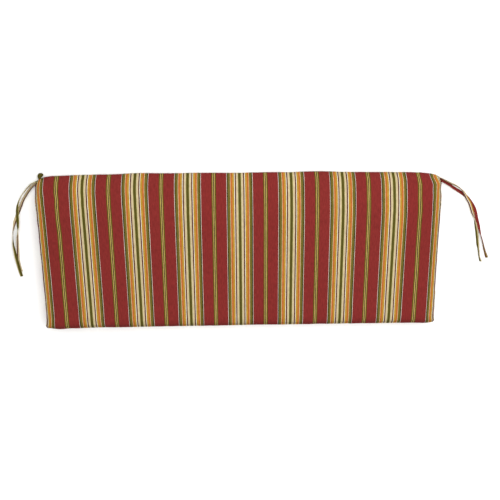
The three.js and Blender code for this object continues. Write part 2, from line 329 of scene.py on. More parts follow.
class CushionSettings(bpy.types.PropertyGroup):
    """The filled cushion and its seams."""

    column: length_property("Column", "Distance between the mesh's columns on the face", 10 * MM)
    row: length_property("Row", "Distance between the mesh's rows on the face", 9.5 * MM)
    swell: length_property("Swell", "How far the filling lifts the cover", 4 * MM)
    pressure: amount_property("Pressure", "Pressure of the filling in the cloth simulation", 4.0, high=20)
    fullness: amount_property("Fullness", "How tightly the cover is filled", 0.7, high=1, subtype="FACTOR")
    seam_depth: length_property("Seam depth", "How far a seam is pulled in", 2.0 * MM)
    pucker: length_property("Pucker", "Height of the small gathers along the seams", 1.0 * MM)
    lumps: length_property("Lumps", "Height of the soft unevenness of the filling", 0.6 * MM)


class StitchSettings(bpy.types.PropertyGroup):
    """The thread in the seams and along the ties."""

    seam_pitch: length_property("Seam pitch", "Distance from stitch to stitch in the seams", 4.2 * MM)
    tie_pitch: length_property("Tie pitch", "Distance from stitch to stitch along the ties", 3.4 * MM)
    filled: amount_property(
        "Stitch share", "Stitch length as a share of the pitch", 0.78, 0.1, 1, subtype="FACTOR"
    )
    thread: length_property("Thread", "Thickness of the thread", 0.5 * MM)
    seed: IntProperty(name="Seed", description="Seed of the stitches' unevenness", default=7)
    seam_thread: colour_property("Seam thread", "Colour of the thread in the seams", (96, 34, 32))
    tie_thread: colour_property("Tie thread", "Colour of the thread along the ties", (150, 128, 88))


class TieSettings(bpy.types.PropertyGroup):
    """The folded cloth strips at the corners."""

    width: length_property("Width", "Width of a tie", 9.5 * MM, 2 * MM)
    thickness: length_property("Thickness", "Thickness of the folded strip", 1.6 * MM, 0.3 * MM)
    step: length_property("Step", "Distance between the sections of a tie", 3 * MM, 0.5 * MM)
    ripple: length_property("Ripple", "Height of the strip's small waves", 0.25 * MM)


class StageSettings(bpy.types.PropertyGroup):
    """The floor, the lights and the camera."""

    floor_size: length_property("Floor size", "Side of the square floor", 14.0, 1, 50)
    floor_colour: colour_property("Floor colour", "Colour of the plain floor", (251, 251, 250))
    sky: amount_property("Sky", "Strength of the even light from all around", 1.0)
    light_power: amount_property("Light power", "Power that the soft lights share", 75, unit="POWER")
    lens: amount_property("Lens", "Focal length of the camera", 58.896, 1, subtype="DISTANCE_CAMERA")


SETTINGS = {
    "loveseat_stripes": StripeColours,
    "loveseat_cushion": CushionSettings,
    "loveseat_stitches": StitchSettings,
    "loveseat_ties": TieSettings,
    "loveseat_stage": StageSettings,
}


# Small helpers


def smoothstep(low, high, x):
    t = np.clip((np.asarray(x, float) - low) / (high - low), 0, 1)
    return t * t * (3 - 2 * t)


def lerp(a, b, t):
    return a + (b - a) * t


def travelled(points, axis=0):
    """The way travelled along lines of points, from the first point of each line."""
    steps = np.linalg.norm(np.diff(points, axis=axis), axis=-1)
    start = np.zeros_like(steps.take([0], axis))
    return np.concatenate([start, np.cumsum(steps, axis=axis)], axis)


def unit(directions):
    return directions / np.linalg.norm(directions, axis=-1)[..., None]


def link(piece):
    bpy.context.scene.collection.objects.link(piece)
    return piece


def mesh_object(name, points, faces, uvs=None, material=None, smooth=True, edges=()):
    """A mesh object from its points and faces, with one UV pair for each corner of each face."""
    mesh = bpy.data.meshes.new(name)
    mesh.from_pydata([tuple(p) for p in points], edges, faces)
    if uvs is not None:
        layer = mesh.uv_layers.new(name="cloth")
        layer.data.foreach_set("uv", np.asarray(uvs, float).ravel())
    if material is not None:
        mesh.materials.append(material)
    mesh.polygons.foreach_set("use_smooth", [smooth] * len(mesh.polygons))
    mesh.update()
    return link(bpy.data.objects.new(name, mesh))


def points_of(mesh):
    found = np.empty(3 * len(mesh.vertices))
    mesh.vertices.foreach_get("co", found)
    return found.reshape(-1, 3)


def normals_of(mesh):
    found = np.empty(3 * len(mesh.vertices))
    mesh.vertex_normals.foreach_get("vector", found)
    return found.reshape(-1, 3)


def place_points(mesh, points):
    mesh.vertices.foreach_set("co", np.asarray(points, float).ravel())
    mesh.update()


def finished(piece, name):
    """The piece with its modifiers applied, as a plain mesh."""
    graph = bpy.context.evaluated_depsgraph_get()
    mesh = bpy.data.meshes.new_from_object(piece.evaluated_get(graph))
    mesh.name = name
    piece.modifiers.clear()
    piece.data = mesh
    piece.name = name
    return piece


class Nodes:
    """Adds and links the nodes of one tree."""

    def __init__(self, tree):
        self.tree = tree

    def add(self, kind, inputs=None, **values):
        node = self.tree.nodes.new(kind)
        for key, value in values.items():
            setattr(node, key, value)
        for key, value in (inputs or {}).items():
            if isinstance(value, bpy.types.NodeSocket):
                self.tree.links.new(value, node.inputs[key])
            else:
                node.inputs[key].default_value = value
        return node

    def math(self, operation, *values):
        return self.add("ShaderNodeMath", dict(enumerate(values)), operation=operation).outputs[0]

    def scaled(self, rgb, tone):
        inputs = {0: rgb, "Scale": tone}
        return self.add("ShaderNodeVectorMath", inputs, operation="SCALE").outputs[0]

    def swing(self, value, size):
        """A noise's value made to swing to both sides of zero."""
        return self.math("MULTIPLY", self.math("SUBTRACT", value, 0.5), size)

    def noise(self, vector, scale, detail, roughness=0.5):
        inputs = {"Vector": vector, "Scale": scale, "Detail": detail, "Roughness": roughness}
        return self.add("ShaderNodeTexNoise", inputs).outputs["Fac"]

    def streaks(self, vector, stretch, detail, roughness):
        """Noise drawn out into streaks. stretch is how often it changes in a metre, each way."""
        inputs = {0: vector, 1: stretch}
        stretched = self.add("ShaderNodeVectorMath", inputs, operation="MULTIPLY").outputs[0]
        return self.noise(stretched, 1.0, detail, roughness)

    def bump(self, height, distance, strength):
        inputs = {"Height": height, "Distance": distance, "Strength": strength}
        return self.add("ShaderNodeBump", inputs).outputs["Normal"]

    def surface(self, inputs):
        shader = self.add("ShaderNodeBsdfPrincipled", inputs)
        self.add("ShaderNodeOutputMaterial", {"Surface": shader.outputs[0]})


def blank_material(name):
    """A material without nodes, and the means to fill it."""
    material = bpy.data.materials.new(name)
    material.use_nodes = True
    material.node_tree.nodes.clear()
    return material, Nodes(material.node_tree)


def stripe_ramp(nodes, across, colours):
    """The woven stripes: a ramp over half of their repeat, which the other half mirrors."""
    half = STRIPE_REPEAT / 2
    folded = nodes.math("PINGPONG", across, half)
    ramp = nodes.add("ShaderNodeValToRGB", {"Fac": nodes.math("DIVIDE", folded, half)})
    ramp.color_ramp.interpolation = "CONSTANT"
    stops = ramp.color_ramp.elements
    while len(stops) < len(STRIPES):
        stops.new(1.0)
    for stop, (start, name, _, _) in zip(stops, STRIPES):
        stop.position = start * MM / half
        stop.color = (*getattr(colours, name), 1)
    return ramp.outputs["Color"]


def cloth_material(name, weave, fade, seams):
    """Striped woven cotton. The UV map holds the cloth's own coordinates in metres, U across the stripes."""
    material, nodes = blank_material(name)
    colours = bpy.context.scene.loveseat_stripes
    cloth = nodes.add("ShaderNodeUVMap", uv_map="cloth").outputs["UV"]
    parts = nodes.add("ShaderNodeSeparateXYZ", {0: cloth})
    across, along = parts.outputs["X"], parts.outputs["Y"]

    # The warp threads stand a little unevenly, so the stripes' edges aren't ruled.
    shift = nodes.swing(nodes.streaks(cloth, *WANDERING), WANDER)
    stripes = stripe_ramp(nodes, nodes.math("ADD", across, shift), colours)

    # Thick and thin threads, threads across them, faded patches, mottled dye, and painted shade near the
    # seams, where their creases would be in shade.
    slub = nodes.streaks(cloth, *SLUBS)
    tone = 1.0
    for value, size in (
        (slub, SLUB_TONE),
        (nodes.streaks(cloth, *PICKS), PICK_TONE),
        (nodes.streaks(cloth, *FADED_PATCHES), fade),
        (nodes.streaks(cloth, *MOTTLING), MOTTLED_TONE),
    ):
        tone = nodes.math("ADD", nodes.swing(value, size), tone)
    if seams:
        seam = nodes.add("ShaderNodeAttribute", attribute_name="seam").outputs["Fac"]
        dark = nodes.math("SUBTRACT", 1.0, nodes.math("MULTIPLY", seam, SEAM_PAINTED_SHADE))
        tone = nodes.math("MULTIPLY", tone, dark)

    # The plain weave: the threads of each direction rise in turn.
    turn = 2 * math.pi / weave
    warp, weft = (nodes.math("SINE", nodes.math("MULTIPLY", way, turn)) for way in (across, along))
    woven = nodes.math("MULTIPLY", nodes.math("MULTIPLY", warp, weft), WEAVE_HEIGHT)
    relief = nodes.math("ADD", woven, nodes.math("MULTIPLY", slub, SLUB_HEIGHT))
    nodes.surface(
        {
            "Base Color": nodes.scaled(stripes, tone),
            "Roughness": nodes.math("ADD", nodes.math("MULTIPLY", slub, 0.1), 0.8),
            "Normal": nodes.bump(relief, 0.12 * MM, 0.8),
            "Specular IOR Level": 0.04,
        }
    )
    return material


def thread_material(name, rgb):
    """Twisted sewing thread."""
    material, nodes = blank_material(name)
    place = nodes.add("ShaderNodeTexCoord").outputs["Object"]
    fuzz = nodes.noise(place, 2500.0, 2.0)
    tone = nodes.math("ADD", nodes.math("MULTIPLY", fuzz, 0.5), 0.75)
    nodes.surface(
        {
            "Base Color": nodes.scaled(rgb, tone),
            "Roughness": 0.6,
            "Normal": nodes.bump(fuzz, 0.05 * MM, 0.6),
            "Sheen Weight": 0.1,
        }
    )
    return material


def floor_material(rgb):
    """Plain pale paper."""
    material, nodes = blank_material("pale_floor")
    nodes.surface({"Base Color": (*rgb, 1), "Roughness": 0.95})
    return material


# The cushion


def face_height(x, y):
    """Height of the face above the underside: its crown, and its roll down to the tied edge."""
    towards_front = np.maximum(0, CROWN_Y - y) / (CROWN_Y + DEPTH / 2)
    towards_end = np.abs(x) / (LENGTH / 2)
    crown = THICKNESS - FRONT_FALL * towards_front**2 - END_FALL * towards_end**4
    t = np.maximum(0, (y - ROLL_START_Y) / (DEPTH / 2 - ROLL_START_Y))
    roll = np.sqrt(np.maximum(0, 1 - t**ROLL_POWER))
    return TIED_HEIGHT + (crown - TIED_HEIGHT) * roll


def shoulder_inset(angle, width):
    return WALL_INSETS[-1] + width * (1 - np.cos(angle))


def shoulder_level(angle):
    return WALL_LEVELS[-1] + (1 - WALL_LEVELS[-1]) * np.sin(angle)


def side_inset(level, shoulder):
    """How far the wall and its shoulder stand in from the widest outline, at a share of the face's height."""
    above = np.clip((level - WALL_LEVELS[-1]) / (1 - WALL_LEVELS[-1]), 0, 1)
    wall = np.interp(level, WALL_LEVELS, WALL_INSETS)
    return np.where(level > WALL_LEVELS[-1], shoulder_inset(np.arcsin(above), shoulder), wall)


def back_seam_height(height):
    return BACK_SEAM_LEVEL * height + BACK_SEAM_HEIGHT


def rounded(x, y, half, front, tied, front_radius, tied_radius):
    """Draws the corners of a rectangle's grid in to quarter circles."""
    x, y = np.broadcast_arrays(np.asarray(x, float), np.asarray(y, float))
    reach = np.abs(x)
    for radius, middle, way in (
        (front_radius, front + front_radius, -1),
        (tied_radius, tied - tied_radius, 1),
    ):
        p = np.clip((reach - (half - radius)) / radius, 0, 1)
        q = np.clip(way * (y - middle) / radius, 0, 1)
        inside = (p > 0) & (q > 0)
        p_new = p * np.sqrt(1 - q**2 / 2)
        q_new = q * np.sqrt(1 - p**2 / 2)
        reach = np.where(inside, half - radius + radius * p_new, reach)
        y = np.where(inside, y + way * (q_new - q) * radius, y)
    return np.sign(x) * reach, y


def eased(x, table):
    """Values of a table of places and sizes in millimetres, eased from each one to the next."""
    places, sizes = np.array(table).T * MM
    k = np.clip(np.searchsorted(places, x, side="right") - 1, 0, len(places) - 2)
    return lerp(sizes[k], sizes[k + 1], smoothstep(places[k], places[k + 1], x))


def drawn(x, y):
    """Moves places on the plain outline to the real one, whose sides are drawn in and bowed."""
    pulled = np.where(x < 0, eased(y, LEFT_END), eased(y, RIGHT_END))
    pulled = pulled * smoothstep(*END_PULL_BAND, np.abs(x))
    along_length = np.clip((x + LENGTH / 2) / LENGTH, 0, 1)
    front_share = np.clip(-y / (DEPTH / 2), 0, 1) ** 2
    tied_share = np.clip(y / (DEPTH / 2), 0, 1) ** 4
    bow = 1 - (2 * along_length - 1) ** 2
    moved = (FRONT_DRAWN_IN * bow + eased(x, FRONT_EDGE)) * front_share + eased(x, TIED_EDGE) * tied_share
    return x - np.sign(x) * pulled, y + moved


def drawn_out(reach, y, draws):
    """How far the stripes are drawn out at a reach from the middle."""
    return sum(eased(y, sizes) * smoothstep(low * MM, high * MM, reach) for (low, high), sizes in draws)


def outline(x, y):
    """The widest outline at places of the plain one, and the face's height there."""
    x_round, y_round = rounded(x, y, LENGTH / 2, -DEPTH / 2, DEPTH / 2, FRONT_CORNER, TIED_CORNER)
    return np.stack(drawn(x_round, y_round), -1), face_height(x_round, y_round)


def joined_rise(a, b):
    """Joins the rise from two edges: 0 on either edge, and either one's own rise away from the other edge."""
    low = 1e-6
    a, b = np.maximum(a, low), np.maximum(b, low)
    joined = (a**-RISE_SHARPNESS + b**-RISE_SHARPNESS - 1) ** (-1 / RISE_SHARPNESS)
    return np.clip(joined - low, 0, 1)


def back_lines(side, count):
    """Places from one side of the back to the other, closer together near both."""
    edge = np.array(BACK_EDGE) * MM - side / 2
    between = np.linspace(edge[-1], -edge[-1], count - 2 * len(edge) + 2)[1:-1]
    return np.concatenate([edge, between, -edge[::-1]])


class CushionGrid:
    """The cover's panels: the face with its tied roll, the front strip, two end gussets and the back."""

    def __init__(self, settings):
        self.settings = settings
        self.half = LENGTH / 2 - END_SEAM_INSET
        self.front = -DEPTH / 2 + float(shoulder_inset(FRONT_SEAM_ANGLE, FRONT_SHOULDER))
        self.tied = DEPTH / 2 - TIED_SEAM_INSET
        self.points = []
        self.faces = []
        self.uvs = []
        self.make_spacing()
        self.make_face()
        self.make_ring()
        self.make_front()
        self.make_ends()
        self.make_back()
        self.points = np.array(self.points)

    def add(self, places):
        """Adds an array of places and returns their numbers in the same shape."""
        start = len(self.points)
        flat = np.asarray(places, float).reshape(-1, 3)
        self.points.extend(flat)
        return np.arange(start, start + len(flat)).reshape(np.shape(places)[:-1])

    def add_between(self, places, low, high, first, last):
        """Adds the inside of a grid of places, whose four sides are there already."""
        numbers = np.empty(places.shape[:2], int)
        numbers[1:-1, 1:-1] = self.add(places[1:-1, 1:-1])
        numbers[:, 0] = low
        numbers[:, -1] = high
        numbers[0] = first
        numbers[-1] = last
        return numbers

    def panel(self, numbers, cloth, flip=False):
        """Adds a grid of faces. cloth holds the UV of each of its corners."""
        for i, j in np.ndindex(numbers.shape[0] - 1, numbers.shape[1] - 1):
            ring = [(i, j), (i + 1, j), (i + 1, j + 1), (i, j + 1)]
            corners = {}
            for place in reversed(ring) if flip else ring:
                corners.setdefault(int(numbers[place]), place)
            self.faces.append(list(corners))
            self.uvs.extend(cloth[place] for place in corners.values())

    def make_spacing(self):
        """Columns from end seam to end seam, and rows from the front seam to the tied edge."""
        near_end = np.array(END_COLUMNS) * MM
        flat_end = self.half - END_BAND
        flat = np.linspace(0, flat_end, round(flat_end / self.settings.column) + 1)
        self.columns = self.mirrored(np.concatenate([flat, self.half - near_end]))
        ring = self.half - near_end + END_SEAM_INSET * (1 - near_end / END_BAND) ** 2
        self.ring_columns = self.mirrored(np.concatenate([flat, ring]))
        angles = np.linspace(FRONT_SEAM_ANGLE, math.pi / 2, SHOULDER_ROWS)
        shoulder = -DEPTH / 2 + shoulder_inset(angles, FRONT_SHOULDER)
        steps = round((ROLL_ROWS_Y - shoulder[-1]) / self.settings.row)
        level = np.linspace(shoulder[-1], ROLL_ROWS_Y, steps + 1)[1:]
        turn = np.sin(np.linspace(0, math.pi / 2, ROLL_ROWS))[1:]
        roll = ROLL_ROWS_Y + (self.tied - ROLL_ROWS_Y) * turn
        self.rows = np.concatenate([shoulder, level, roll])

    @staticmethod
    def mirrored(half):
        return np.concatenate([-half[:0:-1], half])

    def make_face(self):
        x, y = np.meshgrid(self.columns, self.rows, indexing="ij")

        # How far each place has risen from the end seam, and from the front or tied seam.
        cornered = smoothstep(*CORNER_BAND, y)
        width, fall, held = (
            lerp(np.where(x < 0, a, b), c, cornered)
            for a, b, c in zip(LEFT_FALL, RIGHT_FALL, CORNER_FALL)
        )
        near = np.clip((np.abs(x) - self.half + width) / width, 0, 1)
        end_rise = 1 - near**held
        front_level = shoulder_level(FRONT_SEAM_ANGLE)
        turned = np.clip(1 - (y + DEPTH / 2 - WALL_INSETS[-1]) / FRONT_SHOULDER, 0, 1)
        level = shoulder_level(np.arccos(turned))
        front_rise = np.clip((level - front_level) / (1 - front_level), 0, 1)
        from_tied = np.clip((TIED_SHOULDER - (self.tied - y)) / TIED_SHOULDER, 0, 1)
        tied_rise = np.sqrt(1 - from_tied**2)
        across_rise = np.minimum(front_rise, tied_rise)
        across_rise[:, [0, -1]] = 0

        sides = (self.half, self.front, self.tied)
        x_round, y_round = rounded(x, y, *sides, FRONT_SEAM_CORNER, TIED_CORNER)
        height = face_height(x_round, y_round)
        tied_seam = back_seam_height(height)
        end_seam = lerp(height - fall, tied_seam, smoothstep(*GUSSET_TAPER, y))
        front_seam = np.where(y < 0, front_level * height, tied_seam)
        end_pull, across_pull = 1 - end_rise, 1 - across_rise
        total = end_pull + across_pull + 1e-9
        seam = (end_pull * end_seam + across_pull * front_seam) / total
        z = seam + (height - seam) * joined_rise(end_rise, across_rise)
        self.face_places = np.stack([*drawn(x_round, y_round), z], -1)
        self.face = self.add(self.face_places)

        # The cloth's own coordinates: the way along the surface from its middle.
        along = travelled(self.face_places, 0)
        u = along - along[len(self.columns) // 2]
        straight_row = np.searchsorted(self.rows, STRAIGHT_BAND[0])
        u = lerp(u, u[:, straight_row : straight_row + 1], smoothstep(*STRAIGHT_BAND, y))
        reach = np.abs(u)
        u -= np.where(u < 0, -drawn_out(reach, y, LEFT_DRAW), drawn_out(reach, y, RIGHT_DRAW))
        self.face_cloth = np.stack([u, travelled(self.face_places, 1)], -1)
        self.panel(self.face, self.face_cloth)

    def make_ring(self):
        """The back seam along the front and the ends, with the widest outline above it."""
        rows = self.rows - RING_LAG * (1 - smoothstep(*RING_LAG_BAND, self.rows))
        rows[0], rows[-1] = -DEPTH / 2, DEPTH / 2
        count_i, count_j = len(self.columns), len(self.rows)
        right = np.full(count_j - 1, LENGTH / 2)
        tied = np.full(count_i - 1, DEPTH / 2)
        x = np.concatenate([self.ring_columns, right, self.ring_columns[-2::-1], -right[1:]])
        y = np.concatenate([np.full(count_i, -DEPTH / 2), rows[1:], tied, rows[-2:0:-1]])
        places, height = outline(x, y)
        run = unit(np.roll(places, -1, axis=0) - np.roll(places, 1, axis=0))
        outward = np.stack([run[:, 1], -run[:, 0]], -1)
        seam = back_seam_height(height)
        inset = side_inset(seam / height, END_SHOULDER)
        ring = np.column_stack([places - outward * inset[:, None], seam])
        self.outline_places, self.outline_height, self.outward = places, height, outward
        self.ring_places = ring
        self.front_ring = self.add(ring[:count_i])

        # The right end follows the front edge round the ring, and the left end goes the other way.
        self.ends = {}
        for column, index in ((-1, np.arange(count_j) + count_i - 1), (0, -np.arange(count_j))):
            between = self.add(ring[index[1:-1]])
            numbers = np.concatenate([[self.front_ring[column]], between, [self.face[column, -1]]])
            self.ends[column] = (index, numbers)

    def strip(self, ring_index, top_places, shares, shoulder):
        """Places of a strip from the back seam up to the seam above it, bulging out to the widest outline."""
        bottom = self.ring_places[ring_index]
        height_high = face_height(top_places[:, 0], top_places[:, 1])[:, None]
        height = lerp(self.outline_height[ring_index][:, None], height_high, shares)
        z = lerp(bottom[:, 2:3], top_places[:, 2:3], shares)
        inset = side_inset(z / height, shoulder)[:, :, None]
        plan = self.outline_places[ring_index][:, None, :] - self.outward[ring_index][:, None, :] * inset
        residual = top_places[:, :2] - plan[:, -1]
        plan = plan + residual[:, None, :] * shares[..., None]
        return np.concatenate([plan, z[..., None]], -1)

    def make_front(self):
        count_i = len(self.columns)
        levels = np.array(FRONT_LEVELS)
        self.front_shares = (levels - levels[0]) / (levels[-1] - levels[0])
        shares = np.tile(self.front_shares, (count_i, 1))
        places = self.strip(np.arange(count_i), self.face_places[:, 0], shares, FRONT_SHOULDER)
        between = self.add(places[:, 1:-1])
        self.front_strip = np.column_stack([self.front_ring, between, self.face[:, 0]])
        v = -travelled(places[:, ::-1], 1)[:, ::-1]
        u = np.tile(self.face_cloth[:, 0, 0][:, None], (1, len(levels)))
        self.panel(self.front_strip, np.stack([u, v], -1))

    def make_ends(self):
        even = np.array(END_LEVELS)
        blend = smoothstep(0, 6, np.arange(len(self.rows)))[:, None]
        shares = lerp(self.front_shares[None, :], even[None, :], blend)
        for column, (index, ring) in self.ends.items():
            top = self.face[column]
            places = self.strip(index, self.face_places[column], shares, END_SHOULDER)
            numbers = self.add_between(places, ring, top, self.front_strip[column], top[-1])
            run = travelled(self.outline_places[index]) - DEPTH / 2
            u = np.tile(run[:, None], (1, len(even)))
            self.panel(numbers, np.stack([u, places[..., 2]], -1), flip=column == 0)

    def make_back(self):
        """The flat underside, which curves up to the back seam all round."""
        x = back_lines(LENGTH, len(self.columns))
        y = back_lines(DEPTH, len(self.rows))
        x_grid, y_grid = np.meshgrid(x, y, indexing="ij")
        places, height = outline(x_grid, y_grid)
        inset = np.minimum(LENGTH / 2 - np.abs(x_grid), DEPTH / 2 - np.abs(y_grid))
        z = back_seam_height(height) * np.clip(1 - inset / BACK_ROLL, 0, 1) ** BACK_ROLL_POWER
        left, right = self.ends[0][1], self.ends[-1][1]
        tied = self.face[:, -1]
        self.back = self.add_between(np.dstack([places, z]), self.front_ring, tied, left, right)
        self.panel(self.back, places, flip=True)

    def seam_lines(self):
        """The numbers of the points along each seam, as open runs."""
        face, front = self.face, self.front_strip
        ends = [self.ends[-1][1], self.ends[0][1]]
        return [face[:, 0], face[0], face[-1], front[0], front[-1], self.front_ring, *ends, face[:, -1]]


def seam_shares(grid):
    """For each point, 1 on a seam and a small negative share on the points beside one."""
    share = np.zeros(len(grid.points))
    on_seam = {int(n) for line in grid.seam_lines() for n in line}
    for face in grid.faces:
        if not on_seam.isdisjoint(face):
            share[face] = BESIDE_SEAM
    share[list(on_seam)] = 1
    return share


def distance_to_seams(grid):
    """How far each point of the cover is from the nearest seam."""
    seams = np.concatenate([grid.points[line] for line in grid.seam_lines()])
    return np.array([np.linalg.norm(seams - point, axis=1).min() for point in grid.points])


def filled(cushion, start, pinned, settings):
    """Fills the cover with Blender's cloth simulation. Returns where its points come to lie."""
    place_points(cushion.data, start)
    group = cushion.vertex_groups.new(name="pinned")
    group.add([int(n) for n in np.flatnonzero(pinned)], 1.0, "REPLACE")
    modifier = cushion.modifiers.new("Filling", "CLOTH")
    cloth = modifier.settings
    cloth.quality = 5
    cloth.mass = 0.3
    cloth.tension_stiffness = cloth.compression_stiffness = 15
    cloth.shear_stiffness = 8
    cloth.bending_stiffness = 2
    cloth.vertex_group_mass = group.name
    cloth.use_pressure = True
    cloth.uniform_pressure_force = settings.pressure
    cloth.effector_weights.gravity = 0
    modifier.collision_settings.use_collision = False
    modifier.point_cache.frame_start, modifier.point_cache.frame_end = 1, FILLING_FRAMES
    scene = bpy.context.scene
    for step in range(1, FILLING_FRAMES + 1):
        scene.frame_set(step)
    graph = bpy.context.evaluated_depsgraph_get()
    blown = points_of(cushion.evaluated_get(graph).data)
    cushion.modifiers.remove(modifier)
    cushion.vertex_groups.remove(group)
    scene.frame_set(1)
    return blown


def uneven(points, normals, distance, settings):
    """Soft lumps of the filling, and small gathers that fade away from the seams."""
    moved = np.empty(len(points))
    for n, point in enumerate(points):
        lump = noise.noise(Vector(point) * LUMPS_A_METRE) * settings.lumps
        gather = noise.noise(Vector((point[0] * GATHERS_A_METRE, point[1] * GATHERS_A_METRE, 7.0)))
        near = math.exp(-distance[n] / GATHER_REACH) * (1 - math.exp(-distance[n] / GATHER_START))
        moved[n] = lump + gather * near * 2 * settings.pucker
    return points + normals * moved[:, None]


class LOVESEAT_OT_cushion(bpy.types.Operator):
    """Make the filled cushion with its face, front strip, end gussets and back"""

    bl_idname = "loveseat.cushion"
    bl_label = "Filled cushion"

    def execute(self, context):
        settings = context.scene.loveseat_cushion
        grid = CushionGrid(settings)
        material = cloth_material("striped_cover", 1.4 * MM, 0.16, seams=True)
        cushion = mesh_object("cushion_cover", grid.points, grid.faces, grid.uvs, material)

        # The cover starts a little flat, and the filling lifts it to its full height.
        shape = points_of(cushion.data)
        normals = normals_of(cushion.data)
        distance = distance_to_seams(grid)
        back = np.zeros(len(shape), bool)
        back[grid.back.ravel()] = True
        pinned = back | (distance < 1e-6) | (shape[:, 2] < RESTING_HEIGHT)
        room = smoothstep(*FREE_BAND, distance) * ~back
        limit = settings.swell
        start = shape - normals * (limit * room)[:, None]
        moved = filled(cushion, start, pinned, settings) - start
        far = np.linalg.norm(moved, axis=1)[:, None] + 1e-12
        shape = start + moved / far * limit * np.tanh(far / limit)
        place_points(cushion.data, shape)

        shape = points_of(cushion.data)
        free = np.where(back, 0.0, 1.0)[:, None]
        place_points(cushion.data, lerp(shape, uneven(shape, normals, distance, settings), free))
        shape = points_of(cushion.data)
        share = seam_shares(grid)
        pulled = settings.seam_depth * share * np.where(back & (share < 0), 0, 1)
        place_points(cushion.data, shape - normals_of(cushion.data) * pulled[:, None])
        # Painted shade: the cloth is darkened near every seam, and less the further it lies from one.
        seam = cushion.data.attributes.new("seam", "FLOAT", "POINT")
        seam.data.foreach_set("value", np.exp(-distance / SEAM_PAINTED_SHADE_REACH))

        finer = cushion.modifiers.new("Finer", "SUBSURF")
        finer.levels = finer.render_levels = 1
        finished(cushion, "cushion_cover")
        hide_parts("cushion")
        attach(cushion, BODY)
        make_seam_stitches(cushion, grid)
        return {"FINISHED"}


def stitch_tree(name, material):
    """Geometry Nodes that set a row of stitches along the edges of a mesh."""
    tree = bpy.data.node_groups.new(name, "GeometryNodeTree")
    face = tree.interface
    face.new_socket("Geometry", in_out="INPUT", socket_type="NodeSocketGeometry")
    for label, default in (("Pitch", 4 * MM), ("Stitch length", 3 * MM), ("Thread", 0.5 * MM)):
        socket = face.new_socket(label, in_out="INPUT", socket_type="NodeSocketFloat")
        socket.default_value = default
        socket.subtype = "DISTANCE"
    face.new_socket("Seed", in_out="INPUT", socket_type="NodeSocketInt")
    face.new_socket("Geometry", in_out="OUTPUT", socket_type="NodeSocketGeometry")
    nodes = Nodes(tree)
    given = nodes.add("NodeGroupInput").outputs
    curve = nodes.add("GeometryNodeMeshToCurve", {"Mesh": given["Geometry"]})
    spaced = nodes.add("GeometryNodeResampleCurve", {"Curve": curve.outputs[0]})
    spaced.mode = "LENGTH"
    tree.links.new(given["Pitch"], spaced.inputs["Length"])
    bead = nodes.add("GeometryNodeMeshUVSphere", {"Segments": 6, "Rings": 4, "Radius": 0.5})
    thread, length = given["Thread"], given["Stitch length"]
    size = nodes.add("ShaderNodeCombineXYZ", {"X": thread, "Y": thread, "Z": length})
    stitch = nodes.add("GeometryNodeTransform", {"Geometry": bead.outputs["Mesh"], "Scale": size.outputs[0]})
    tangent = nodes.add("GeometryNodeInputTangent").outputs[0]
    turned = nodes.add("FunctionNodeAlignRotationToVector", {"Vector": tangent}, axis="Z")
    inputs = {"Seed": given["Seed"], 2: STITCH_LEAST, 3: STITCH_MOST}
    uneven_size = nodes.add("FunctionNodeRandomValue", inputs, data_type="FLOAT")
    row = nodes.add(
        "GeometryNodeInstanceOnPoints",
        {
            "Points": spaced.outputs[0],
            "Instance": stitch.outputs[0],
            "Rotation": turned.outputs[0],
            "Scale": uneven_size.outputs[1],
        },
    )
    real = nodes.add("GeometryNodeRealizeInstances", {"Geometry": row.outputs[0]})
    dressed = nodes.add("GeometryNodeSetMaterial", {"Geometry": real.outputs[0], "Material": material})
    nodes.add("NodeGroupOutput", {"Geometry": dressed.outputs[0]})
    return tree


def stitched(name, lines, pitch, material):
    """Rows of stitches along lines of points, as one plain mesh."""
    settings = bpy.context.scene.loveseat_stitches
    points, edges = [], []
    for line in lines:
        start = len(points)
        points.extend(line)
        edges.extend((n, n + 1) for n in range(start, len(points) - 1))
    piece = mesh_object(name, points, [], edges=edges)
    modifier = piece.modifiers.new("Stitches", "NODES")
    tree = stitch_tree(name + "_row", material)
    modifier.node_group = tree
    length = pitch * settings.filled
    values = {"Pitch": pitch, "Stitch length": length, "Thread": settings.thread, "Seed": settings.seed}
    for item in tree.interface.items_tree:
        if item.in_out == "INPUT" and item.name in values:
            modifier[item.identifier] = values[item.name]
    finished(piece, name)
    piece.data.polygons.foreach_set("use_smooth", [True] * len(piece.data.polygons))
    return piece


def make_seam_stitches(cushion, grid):
    """The thread that shows in the cushion's seams. Subdivision keeps the numbers of the first points."""
    settings = bpy.context.scene.loveseat_stitches
    raised = points_of(cushion.data) + normals_of(cushion.data) * STITCH_LIFT
    lines = [raised[line] for line in grid.seam_lines()]
    material = thread_material("seam_thread", tuple(settings.seam_thread))
    piece = stitched("seam_stitches", lines, settings.seam_pitch, material)
    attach(piece, BODY)


# The ties


def route_point(points, t):
    """A point of a centripetal Catmull-Rom curve, with t from 0 to 1 over all of its points."""
    last = len(points) - 1
    along = last * t
    k = min(int(along), last - 1)
    w = along - k
    before = points[k - 1] if k > 0 else 2 * points[0] - points[1]
    a, b = points[k], points[k + 1]
    after = points[k + 2] if k + 2 <= last else 2 * points[last] - points[last - 1]
    gap_0, gap_1, gap_2 = (
        np.linalg.norm(q - p) ** 0.5 for p, q in ((before, a), (a, b), (b, after))
    )
    out = (a - before) / gap_0 - (b - before) / (gap_0 + gap_1) + (b - a) / gap_1
    into = (b - a) / gap_1 - (after - a) / (gap_1 + gap_2) + (after - b) / gap_2
    out, into = out * gap_1, into * gap_1
    return a + out * w + (3 * (b - a) - 2 * out - into) * w**2 + (2 * (a - b) + out + into) * w**3


